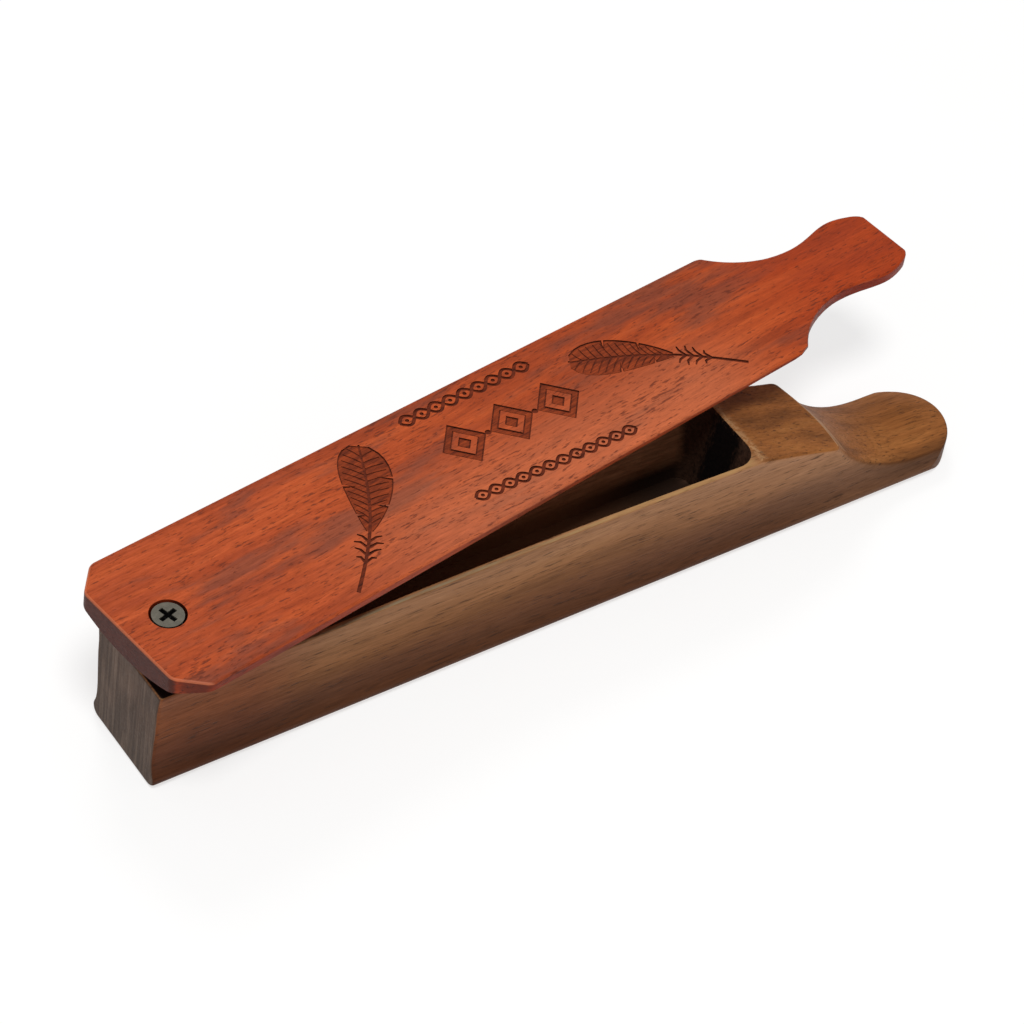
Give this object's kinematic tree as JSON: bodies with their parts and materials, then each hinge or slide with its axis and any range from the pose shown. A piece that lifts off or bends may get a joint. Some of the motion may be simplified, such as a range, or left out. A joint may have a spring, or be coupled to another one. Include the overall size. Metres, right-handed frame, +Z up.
{
  "type": "box turkey call",
  "caption": "Hand-held wooden friction call: a narrow box with a sound chamber and handle, and a paddle lid swinging on a sprung screw.",
  "frame": {"origin": "middle of the flat base of the box, on the surface it stands on", "axes": "+X along the box from the pivot screw towards the handle, +Z up out of the sound chamber, +Y to the side that the lid is swung to at rest"},
  "size_m": [0.266, 0.0742, 0.045],
  "materials": {
    "walnut": "oiled, satin",
    "padauk": "oiled, satin",
    "screw_steel": "dull grey-green plating",
    "spring_steel": "bright drawn wire",
    "washer_steel": "zinc plated"
  },
  "bodies": {
    "box": {"box_body": "walnut"},
    "tension_screw": {"pivot_screw": "screw_steel"},
    "pivot_spring": {"lid_spring": "spring_steel"},
    "washer": {"spring_washer": "washer_steel"},
    "lid": {"paddle_lid": "padauk"}
  },
  "joints": [
    {"name": "screw_turn", "type": "hinge", "parent": "box", "child": "tension_screw", "pos_m": [-0.12006, 0, 0.0346], "axis": [0, 0, 1], "range_deg": [-180, 180]},
    {"name": "lid_swing", "type": "hinge", "parent": "box", "child": "pivot_spring", "pos_m": [-0.12006, 0, 0.0346], "axis": [0, 0, 1], "range_deg": [-37.95, 22.05]},
    {"name": "lid_tip", "type": "hinge", "parent": "pivot_spring", "child": "washer", "pos_m": [-0.12501, -0.00069, 0.0346], "axis": [0.1383, -0.9904, 0], "range_deg": [0, 3], "stiffness_Nm_per_rad": 0.54, "springref_deg": -10.31, "deforming": ["lid_spring"]},
    {"name": "lid_rock", "type": "hinge", "parent": "washer", "child": "lid", "pos_m": [-0.12006, 0, 0.0346], "axis": [0.9904, 0.1383, 0], "range_deg": [-2, 2], "stiffness_Nm_per_rad": 0.4}
  ]
}
